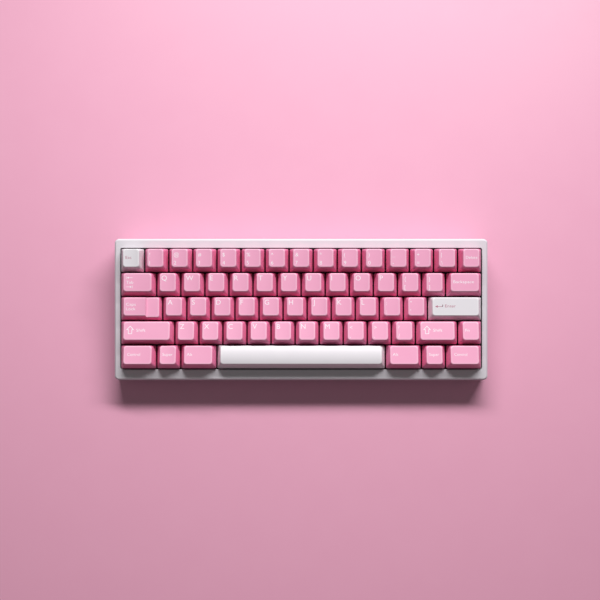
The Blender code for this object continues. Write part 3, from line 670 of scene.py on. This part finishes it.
# The legends as thin slabs laid on the cap's top: sliced across so that they follow its scoop.
def legendSurface(key, form):
    flat = bmesh.new()
    for (points, faces), x, y, size in legendPlan(key, form):
        corners = [flat.verts.new((x + u * size, y + v * size, 0.0)) for u, v in points]
        for face in faces:
            flat.faces.new([corners[index] for index in face])
    for x in np.arange(-form["top"][0], form["top"][0], legends["slice"]):
        bmesh.ops.bisect_plane(flat, geom=[*flat.verts, *flat.edges, *flat.faces],
                               plane_co=(x, 0.0, 0.0), plane_no=(1.0, 0.0, 0.0))
    bmesh.ops.triangulate(flat, faces=flat.faces)
    flat.normal_update()
    bmesh.ops.reverse_faces(flat, faces=[face for face in flat.faces if face.normal.z < 0.0])
    sheet = bpy.data.meshes.new("sheet")
    flat.to_mesh(sheet)
    flat.free()
    count = len(sheet.vertices)
    points, faces = np.empty(3 * count), np.empty(3 * len(sheet.polygons), int)
    sheet.vertices.foreach_get("co", points)
    sheet.loops.foreach_get("vertex_index", faces)
    bpy.data.meshes.remove(sheet)
    points, faces = points.reshape(-1, 3), faces.reshape(-1, 3)
    tail, head = faces.ravel(), np.roll(faces, -1, axis=1).ravel()
    rim = ~np.isin(head * count + tail, tail * count + head)
    tail, head = tail[rim], head[rim]
    walls = np.stack([tail, tail + count, head + count, tail, head + count, head], -1).reshape(-1, 3)
    points[:, 2] = topHeight(points[:, 0], points[:, 1] - caps["topShift"], form) + legends["lift"]
    under = points - (0.0, 0.0, legends["lift"] + legends["sink"])
    return np.concatenate([points, under]), np.concatenate([faces, faces[:, ::-1] + count, walls]), 0.5


# One key's cap, stem and legend, placed at its node and hung on its body. The stem reaches into
# the roof: height of the top, less scoop and roof, plus a small bite.
def makeCap(key, units, row):
    form = capForm(units, row, kinds.get(key, "plain"))
    white = key in whiteKeys
    x, y = keyPlace(key)
    reach = form["height"] - form["dish"] - caps["roof"] + stems["bite"]
    offset = -caps["shelfWidth"] / 2.0 if form["kind"] == "stepped" else 0.0
    surfaces = [(*capSurface(form), 0)]
    surfaces += [(*made, 1) for made in stemSurfaces(reach, offset, stabilised.get(key, 0.0))]
    if legendPlan(key, form):
        surfaces.append((*legendSurface(key, form), 2))
    middle = np.array([x, y, caps["seat"]])
    surfaces = [(toWorld(points + middle), *rest) for points, *rest in surfaces]
    body = "number_row_keys" if key in numberRow else "key_" + key
    materials = [finishes["white" if white else "pink"], finishes["slider"],
                 finishes["mauveLegend" if white else "whiteLegend"]]
    return addPiece("cap_" + key, fillMesh("cap_" + key, surfaces), materials, body,
                    (body,))


for row, keys in enumerate(rows):
    for key, units in keys:
        makeCap(key, units, row)
    print("caps of row", row + 1, "ready:", len(keys))

# The case, in deck coordinates: outside, opening, and heights above the table of underside and floor.
shell = {
    "halfX": 147.975 * mm, "halfY": 56.025 * mm, "middleY": -0.5 * mm, "corner": 3.5 * mm,
    "top": 5.7 * mm, "seam": -1.5 * mm, "rim": -1.8 * mm, "chamfer": 1.2 * mm, "soft": 0.4 * mm,
    "openX": 143.375 * mm, "openY": 48.125 * mm, "openCorner": 1.5 * mm,
    "ledge": 0.3 * mm, "lap": 2.2 * mm, "underside": 2.3 * mm, "floor": 4.9 * mm,
    "seamTurn": 0.8 * mm, "seamSoft": 0.2 * mm, "openSoft": 0.5 * mm, "edge": 0.1 * mm,
    "floorSoft": 1.0 * mm, "rimTurn": 1.2 * mm, "run": 3.0 * mm,
    "cornerFade": 20.0 * mm, "middleFade": 25.0 * mm,
}


# 1 up to this distance from the outline, falling to 0 at twice the distance.
def fading(inset, distance):
    return np.clip(2.0 - inset / distance, 0.0, 1.0)


# Rings of the case's outside, each taken in by an inset, and of its opening, each let out. The
# corners close up as a ring nears the middle.
def outsideRings(basis, inset):
    corner = np.clip(shell["corner"] - inset, 0.2 * mm, None) * fading(inset, shell["cornerFade"])
    return outlineRings(basis, shell["halfX"] - inset, shell["halfY"] - inset, corner,
                        middleY=shell["middleY"] * fading(inset, shell["middleFade"]))


def openingRings(basis, outset):
    corner = np.clip(shell["openCorner"] + outset, 0.3 * mm, None)
    corner = corner * fading(-outset, shell["cornerFade"])
    return outlineRings(basis, shell["openX"] + outset, shell["openY"] + outset, corner)


# Rings put together as (x, y, z) rows, in world coordinates.
def ringStack(parts):
    rings = np.concatenate([np.stack([x, y, z + 0.0 * x], -1) for x, y, z in parts])
    return toWorld(rings).reshape(-1, 3), rings.shape[:2]


# One closed profile carried round the frame: outside, chamfer, top, opening, ledge and seam.
def makeBezel():
    top, seam, chamfer, soft = shell["top"], shell["seam"], shell["chamfer"], shell["soft"]
    ledge, lap, edge = shell["ledge"], shell["lap"], shell["edge"]
    basis = outlineBasis([], [], 10)
    outer = roundedProfile([(shell["seamTurn"], seam), (0.0, seam), (0.0, top - chamfer),
                            (chamfer, top), (chamfer + 1.4 * mm, top)],
                           [shell["seamSoft"], soft, soft])
    inner = roundedProfile([(1.8 * mm, top), (0.0, top), (0.0, ledge), (lap, ledge), (lap, seam),
                            (lap + shell["seamTurn"] / 2.0, seam)],
                           [shell["openSoft"], edge, edge, edge])
    points, shape = ringStack([(*outsideRings(basis, outer[:, 0]), outer[:, 1:]),
                               (*openingRings(basis, inner[:, 0]), inner[:, 1:])])
    mesh = fillMesh("bezelFrame", [(points, ringFaces(*shape, closed=True), 0.0, 0)])
    addPiece("bezelFrame", mesh, [finishes["case"]], "case", ("case_top",), 30.0)


port = {
    "halfX": 4.47 * mm, "halfZ": 1.63 * mm, "corner": 1.3 * mm, "wall": 0.35 * mm,
    "length": 7.3 * mm, "depth": 6.2 * mm, "tongueX": 3.3 * mm, "tongueZ": 0.35 * mm,
    "setback": 0.8 * mm, "windowX": 6.0 * mm, "windowZ": 3.3 * mm, "windowCorner": 2.97 * mm,
    "flare": 0.5 * mm, "windowDepth": 9.0 * mm, "contacts": 12, "contactPitch": 0.5 * mm,
    "contactX": 0.12 * mm, "contactRise": 0.02 * mm,
}


# Middle of the port's mouth in deck coordinates, from the box of its node.
def portMouth():
    low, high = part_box("usb_port")
    y, z = (low.y + high.y) / 2.0 - deck["y"], (low.z + high.z) / 2.0 - deck["z"]
    return ((low.x + high.x) / 2.0, y * deck["cosine"] + z * deck["sine"] + port["length"] / 2.0,
            z * deck["cosine"] - y * deck["sine"])


# Points of an upright post laid down so that it runs forward from a place on the deck.
def laidDown(points, place):
    x, y, z = points.T
    return toWorld(np.stack([x, -z, y], -1) + place)


screws = {
    "places": [(x * mm, y * mm) for x in (-132.0, 0.0, 132.0) for y in (-29.0, 32.0)],
    "radius": 2.5 * mm, "recess": 2.9 * mm, "bottom": 3.7 * mm, "head": 1.25 * mm, "socket": 1.3 * mm,
    "socketDepth": 0.9 * mm, "bevel": 0.3 * mm, "lead": 0.03 * mm,
}


# A turned closed surface: levels of (radius, z, share of a hexagon in its outline).
def latheSurface(levels, x, y, count=48):
    radius, z, hexed = (column[:, None] for column in np.array(levels).T)
    angle = np.linspace(0.0, 4.0 * quarter, count, endpoint=False)
    sixth = 2.0 * quarter / 3.0
    flat = math.cos(sixth / 2.0) / np.cos(np.mod(angle, sixth) - sixth / 2.0)
    spoke = radius * (1.0 + hexed * (flat - 1.0))
    points = np.stack([x + spoke * np.cos(angle), y + spoke * np.sin(angle), z + 0.0 * spoke], -1)
    return points.reshape(-1, 3), ringFaces(*spoke.shape), 0.0


# The window's cutter: a rounded slot laid along Y, flared where it leaves the back wall.
def windowCutter():
    x, y, z = portMouth()
    depth, flare = y - shell["middleY"] - shell["halfY"], port["flare"]
    levels = ((flare, depth - 0.3 * mm), (flare, depth), (0.0, depth + flare),
              (0.0, port["windowDepth"]))
    points, faces, polishAndSheen = postSurface([(port["windowX"] + grow, port["windowZ"] + grow,
                                          port["windowCorner"] + grow, level)
                                         for grow, level in levels], steps=8)
    return fillMesh("window", [(laidDown(points, (x, y, z)), faces, polishAndSheen, 0)])


# The cutter of one screw's recess, with a bevelled mouth.
def recessCutter(x, y):
    under, bottom = shell["underside"], screws["bottom"]
    recess, bevel = screws["recess"], screws["bevel"]
    levels = [(0.0, under - mm, 0.0), (recess + bevel, under - mm, 0.0), (recess + bevel, under, 0.0),
              (recess, under + bevel, 0.0), (recess, bottom, 0.0), (0.0, bottom, 0.0)]
    return fillMesh("recess", [(*latheSurface(levels, x, y), 0)])


# The tray from the middle of its underside, up the outside, over the rim and down to its floor.
# Underside and floor are level with the table, and the rim is level with the deck.
def makeTray():
    chamfer, soft, rim, run = shell["chamfer"], shell["soft"], shell["rim"], shell["run"]
    turn, seamSoft = shell["rimTurn"], shell["seamSoft"]
    basis = outlineBasis([], np.linspace(-1.0, 1.0, 6)[1:-1], 10)
    under = roundedProfile([(run, 0.0), (chamfer, 0.0), (0.0, chamfer), (0.0, 2.0 * chamfer)],
                           [soft, soft])
    under = np.concatenate([[(shell["halfY"], 0.0), (0.5 * shell["halfY"], 0.0)], under])
    outer = roundedProfile([(0.0, -run), (0.0, rim), (turn, rim)], [seamSoft])
    inner = roundedProfile([(turn, rim), (0.0, rim), (0.0, -4.0 * mm)], [seamSoft])
    floor = roundedProfile([(0.0, run), (0.0, 0.0), (-run, 0.0)], [shell["floorSoft"]])
    floor = np.concatenate([floor, [(-0.5 * shell["openY"], 0.0), (-shell["openY"], 0.0)]])
    parts = []
    for rings, profile, height in ((outsideRings, under, "underside"), (outsideRings, outer, None),
                                   (openingRings, inner, None), (openingRings, floor, "floor")):
        x, y = rings(basis, profile[:, 0])
        parts.append((x, y, profile[:, 1:] + (deckZ(y, shell[height]) if height else 0.0)))
    points, shape = ringStack(parts)
    mesh = fillMesh("trayShell", [(points, ringFaces(*shape), 0.0, 0)])
    cutters = [windowCutter(), *(recessCutter(x, y) for x, y in screws["places"])]
    for cutter in cutters:
        weld(cutter)
    weld(mesh)
    mesh = cutMesh(mesh, cutters)
    addPiece("trayShell", mesh, [finishes["case"]], "case", ("case_bottom",), 30.0)


# A hexagon-socket screw, head down: a turned outline whose socket levels are hexagons.
def makeScrews():
    radius, socket, bevel, lead = screws["radius"], screws["socket"], screws["bevel"], screws["lead"]
    top, low = screws["bottom"] + 0.05 * mm, screws["bottom"] - screws["head"]
    deep = low + screws["socketDepth"]
    levels = [(0.0, deep + bevel, 0.0), (socket, deep, 1.0), (socket, low + 0.25 * mm, 1.0),
              (socket + 0.2 * mm, low + lead, 0.3), (socket + 0.4 * mm, low, 0.0),
              (radius - bevel, low, 0.0), (radius - 0.08 * mm, low + 0.08 * mm, 0.0),
              (radius, low + bevel, 0.0), (radius, top, 0.0), (0.0, top, 0.0)]
    for index, (x, y) in enumerate(screws["places"]):
        mesh = fillMesh("screw", [(*latheSurface(levels, x, y), 0)])
        addPiece("caseScrew" + str(index + 1), mesh, [finishes["screw"]], "case")


# The receptacle: a rounded tube open to the back, with a tongue and its row of contacts inside.
def makePort():
    x, z, corner, wall = port["halfX"], port["halfZ"], port["corner"], port["wall"]
    length, depth, tongueX, tongueZ = port["length"], port["depth"], port["tongueX"], port["tongueZ"]
    innerSize = (x - wall, z - wall, corner - wall)
    place = portMouth()
    surfaces = [postSurface([(*innerSize, depth), (*innerSize, 0.1 * mm),
                             (x - 0.7 * wall, z - 0.7 * wall, corner - 0.7 * wall, 0.0),
                             (x - 0.3 * wall, z - 0.3 * wall, corner - 0.3 * wall, 0.0),
                             (x, z, corner, 0.1 * mm), (x, z, corner, length)], steps=8)]
    tongue = [postSurface([(tongueX - 0.15 * mm, tongueZ - 0.15 * mm, 0.1 * mm, port["setback"]),
                           (tongueX, tongueZ, 0.15 * mm, port["setback"] + 0.3 * mm),
                           (tongueX, tongueZ, 0.15 * mm, depth + 0.1 * mm)])]
    contacts, rise = [], port["contactRise"]
    for index in range(port["contacts"]):
        middle = (index - (port["contacts"] - 1) / 2.0) * port["contactPitch"]
        contacts.append(postSurface([(port["contactX"], tongueZ + rise, rise, level)
                                     for level in (port["setback"] + 0.6 * mm, depth)], middle))
    made = [(laidDown(points, place), faces, polishAndSheen, slot)
            for slot, group in enumerate((surfaces, tongue, contacts))
            for points, faces, polishAndSheen in group]
    materials = [finishes["steel"], finishes["board"], finishes["gold"]]
    addPiece("usbShell", fillMesh("usbShell", made), materials, "case", ("usb_port",))


feet = {"nodes": ("foot_front", "foot_rear"), "corner": 2.5 * mm, "bite": 0.06 * mm,
        "soft": 0.45 * mm, "trough": 0.25 * mm, "troughHalf": 1.9 * mm}


# A rubber strip: rounded edges, and a shallow trough along its sole.
def makeFoot(node):
    low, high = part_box(node)
    halfX, halfY = (high.x - low.x) / 2.0, (high.y - low.y) / 2.0
    middle = ((low.x + high.x) / 2.0, (low.y + high.y) / 2.0, 0.0)
    trough, half = feet["trough"], feet["troughHalf"]
    profile = roundedProfile([(halfY - 0.6 * mm, trough), (half, trough), (half - 0.4 * mm, 0.0),
                              (0.0, 0.0), (0.0, shell["underside"] + feet["bite"])],
                             [0.3 * mm, 0.3 * mm, feet["soft"]])
    levels = [(halfX - inset, halfY - inset, feet["corner"] * (1.0 - inset / halfY), z)
              for inset, z in profile]
    points, faces, polishAndSheen = postSurface(levels, steps=8)
    mesh = fillMesh(node, [(points + middle, faces, polishAndSheen, 0)])
    name = node.replace("foot_", "foot") + "Strip"
    addPiece(name, mesh, [finishes["rubber"]], "case", (node,))


wires = {"radius": 0.75 * mm, "bend": 1.5 * mm, "arm": 9.5 * mm, "over": 1.8 * mm,
         "rise": 3.0 * mm, "tip": 0.5 * mm, "tipShare": 0.45, "depth": -2.6 * mm, "sides": 20,
         "nodes": {"enter": "enter_wire", "left_shift": "shift_wire", "space": "space_wire"}}


# A bent wire, a tube along a flat path: a long bar, and an arm forward and up at each end. The
# tips are chamfered.
def makeWire(key, node):
    x, y = keyPlace(key)
    half, reach = stabilised[key], wires["arm"] + wires["over"]
    path = roundedProfile([(-half, reach), (-half, 0.0), (half, 0.0), (half, reach)],
                          [wires["bend"], wires["bend"]], 8)
    tips = path[[0, -1]]
    necks = tips - (0.0, wires["tip"])
    path = np.concatenate([tips[:1], necks[:1], path[1:-1], necks[1:], tips[1:]])
    rise = math.asin(wires["rise"] / wires["arm"])
    across, forward = np.array([1.0, 0.0, 0.0]), np.array([0.0, -math.cos(rise), math.sin(rise)])
    normal = np.cross(across, forward)
    heading = np.gradient(path, axis=0)
    heading /= np.hypot(*heading.T)[:, None]
    ends = np.concatenate([[0], np.arange(len(path)), [len(path) - 1]])
    path, heading = path[ends], heading[ends]
    radius = np.full(len(path), wires["radius"])
    radius[[1, -2]] *= wires["tipShare"]
    radius[[0, -1]] = 0.0
    angle = np.linspace(0.0, 4.0 * quarter, wires["sides"], endpoint=False)
    side = heading[:, 1:] * across - heading[:, :1] * forward
    middle = np.array([x, y + wires["arm"], wires["depth"]])
    points = middle + path[:, :1] * across + path[:, 1:] * forward
    ring = np.cos(angle)[:, None] * side[:, None, :] + np.sin(angle)[:, None] * normal
    points = points[:, None, :] + ring * radius[:, None, None]
    faces = ringFaces(len(path), wires["sides"])
    mesh = fillMesh(node, [(toWorld(points).reshape(-1, 3), faces, 0.0, 0)])
    addPiece(node.replace("_w", "W"), mesh, [finishes["steel"]], node, (node,))


makeBezel()
makeTray()
makeScrews()
print("case ready")
makePort()
for node in feet["nodes"]:
    makeFoot(node)
for key, node in wires["nodes"].items():
    makeWire(key, node)
print("port, feet and wires ready")

for node, finish in (("switch_plate", "plate"), ("circuit_board", "board")):
    kept = frame["nodes"][node].data
    kept.materials.clear()
    kept.materials.append(finishes[finish])

stage = {
    "floorRadius": 3.0, "floorInner": 0.2, "floorRings": 8, "floorSides": 64,
    "eye": (-0.9 * mm, 7.0 * mm, 876.6 * mm), "lens": 65.9, "farthest": 20.0,
    "lampPlace": (0.11, 0.66, 0.64), "lampAim": (-0.05, -0.14, 0.25), "lampSize": (0.95, 0.12),
    "lampSpread": 122.0, "lampPower": 7.3, "lampColour": (1.0, 0.985, 0.985),
    "ambient": 0.13, "ambientColour": (1.0, 0.97, 0.95, 1.0),
}


# A wide round floor, in rings that widen outward, and its pale paint.
def makeFloor():
    sides = stage["floorSides"]
    radius = np.geomspace(stage["floorInner"], stage["floorRadius"], stage["floorRings"])
    radius = np.concatenate([[0.0], radius])[::-1]
    angle = np.linspace(0.0, 4.0 * quarter, sides, endpoint=False)
    points = np.stack([np.outer(radius, np.cos(angle)), np.outer(radius, np.sin(angle)),
                       np.zeros((len(radius), sides))], -1)
    mesh = fillMesh("floor", [(points.reshape(-1, 3), ringFaces(len(radius), sides), 0.0, 0)])
    weld(mesh)
    mesh.materials.append(finishes["floor"])
    floor = bpy.data.objects.new("floor", mesh)
    bpy.context.scene.collection.objects.link(floor)


# One wide, low strip lamp behind the keyboard, turned to its aim.
def makeLamp():
    lamp = bpy.data.lights.new("key", "AREA")
    lamp.shape = "RECTANGLE"
    lamp.size, lamp.size_y = stage["lampSize"]
    lamp.spread = math.radians(stage["lampSpread"])
    lamp.energy = stage["lampPower"]
    lamp.color = stage["lampColour"]
    holder = bpy.data.objects.new("key", lamp)
    holder.location = stage["lampPlace"]
    back = Vector(stage["lampPlace"]) - Vector(stage["lampAim"])
    holder.rotation_euler = back.to_track_quat("Z", "Y").to_euler()
    bpy.context.scene.collection.objects.link(holder)


# An even light from all round. Colours are shown as they are, with no film curve.
def makeWorld():
    world = bpy.data.worlds.new("studio")
    world.use_nodes = True
    background = world.node_tree.nodes["Background"]
    background.inputs["Color"].default_value = stage["ambientColour"]
    background.inputs["Strength"].default_value = stage["ambient"]
    bpy.context.scene.world = world
    bpy.context.scene.view_settings.view_transform = "Standard"


# A camera over the keys that looks square at the deck.
def makeCamera():
    camera = bpy.data.objects.new("camera", bpy.data.cameras.new("camera"))
    camera.data.lens = stage["lens"]
    camera.data.clip_end = stage["farthest"]
    camera.location = toWorld(np.array(stage["eye"]))
    camera.rotation_euler = (deck["tilt"], 0.0, 0.0)
    bpy.context.scene.collection.objects.link(camera)
    bpy.context.scene.camera = camera


makeFloor()
makeLamp()
makeWorld()
makeCamera()
print("camera, light and floor ready")
